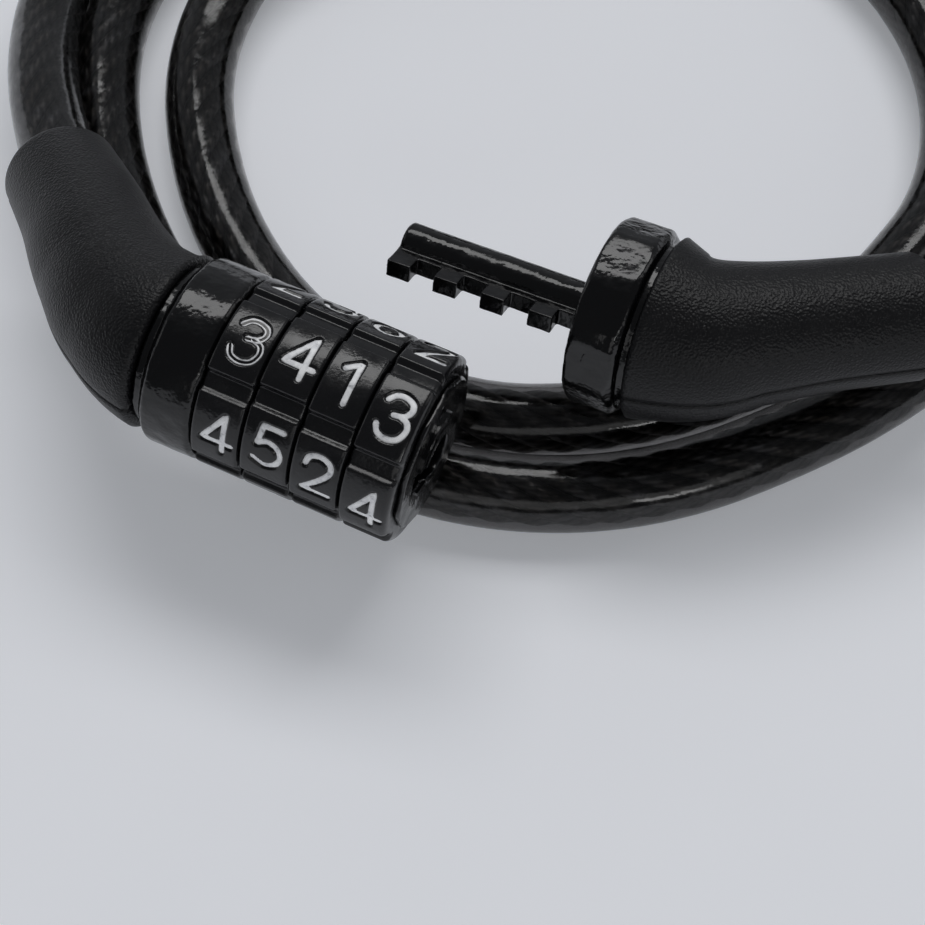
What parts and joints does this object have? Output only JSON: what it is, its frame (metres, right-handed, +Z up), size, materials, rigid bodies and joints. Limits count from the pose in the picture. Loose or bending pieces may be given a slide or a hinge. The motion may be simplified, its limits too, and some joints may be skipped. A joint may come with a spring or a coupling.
{
  "type": "combination cable lock",
  "caption": "Open combination cable lock: coiled clear-jacketed steel cable, slim barrel of number wheels on one end and a toothed key bolt on the other, under elbow boots.",
  "frame": {"origin": "middle of the coiled cable, on the flat surface that it rests on", "axes": "+Z up, +X along the coil's widest way towards the key end's side, +Y away from the two lock heads"},
  "size_m": [0.1703, 0.1572, 0.0357],
  "materials": {
    "boot_plastic": "fine leather-grain matte moulding",
    "head_paint": "glossy black paint with orange peel",
    "wheel_plastic": "glossy black moulding",
    "digit_paint": "white paint filling sunken numbers",
    "gate_metal": "plain stamped steel",
    "spring_steel": "plain spring steel",
    "crimp_metal": "pressed, satin",
    "rope_steel": "twisted bare wire rope",
    "cable_jacket": "smoky clear glossy PVC over twisted steel rope"
  },
  "bodies": {
    "heads_and_cable": {"lock_boot_upper": "boot_plastic", "lock_boot_lower": "boot_plastic", "key_boot_upper": "boot_plastic", "key_boot_lower": "boot_plastic", "lock_ferrule": "head_paint", "core_tube": "head_paint", "front_cap": "head_paint", "retaining_clip": "head_paint", "key_collar": "head_paint", "key_bolt": "head_paint", "detent_leaf_spring": "spring_steel", "wave_washer": "spring_steel", "lock_crimp_pin": "spring_steel", "key_crimp_pin": "spring_steel", "lock_crimp": "crimp_metal", "key_crimp": "crimp_metal", "lock_rope_end": "rope_steel", "key_rope_end": "rope_steel", "cable_lock_end": "cable_jacket", "cable_key_end": "cable_jacket", "cable_coil": "cable_jacket"},
    "wheel_1": {"number_wheel_1": "wheel_plastic", "gate_ring_1": "gate_metal"},
    "wheel_2": {"number_wheel_2": "wheel_plastic", "gate_ring_2": "gate_metal"},
    "wheel_3": {"number_wheel_3": "wheel_plastic", "gate_ring_3": "gate_metal"},
    "wheel_4": {"number_wheel_4": "wheel_plastic", "gate_ring_4": "gate_metal"}
  },
  "joints": [
    {"name": "wheel_1_turn", "type": "hinge", "parent": "heads_and_cable", "child": "wheel_1", "pos_m": [-0.03995, -0.05755, 0.0231], "axis": [0.9075, -0.4155, -0.061], "continuous": true},
    {"name": "wheel_2_turn", "type": "hinge", "parent": "heads_and_cable", "child": "wheel_2", "pos_m": [-0.03405, -0.06025, 0.0227], "axis": [0.9075, -0.4155, -0.061], "continuous": true},
    {"name": "wheel_3_turn", "type": "hinge", "parent": "heads_and_cable", "child": "wheel_3", "pos_m": [-0.02815, -0.06295, 0.02231], "axis": [0.9075, -0.4155, -0.061], "continuous": true},
    {"name": "wheel_4_turn", "type": "hinge", "parent": "heads_and_cable", "child": "wheel_4", "pos_m": [-0.02225, -0.06565, 0.02191], "axis": [0.9075, -0.4155, -0.061], "continuous": true}
  ]
}
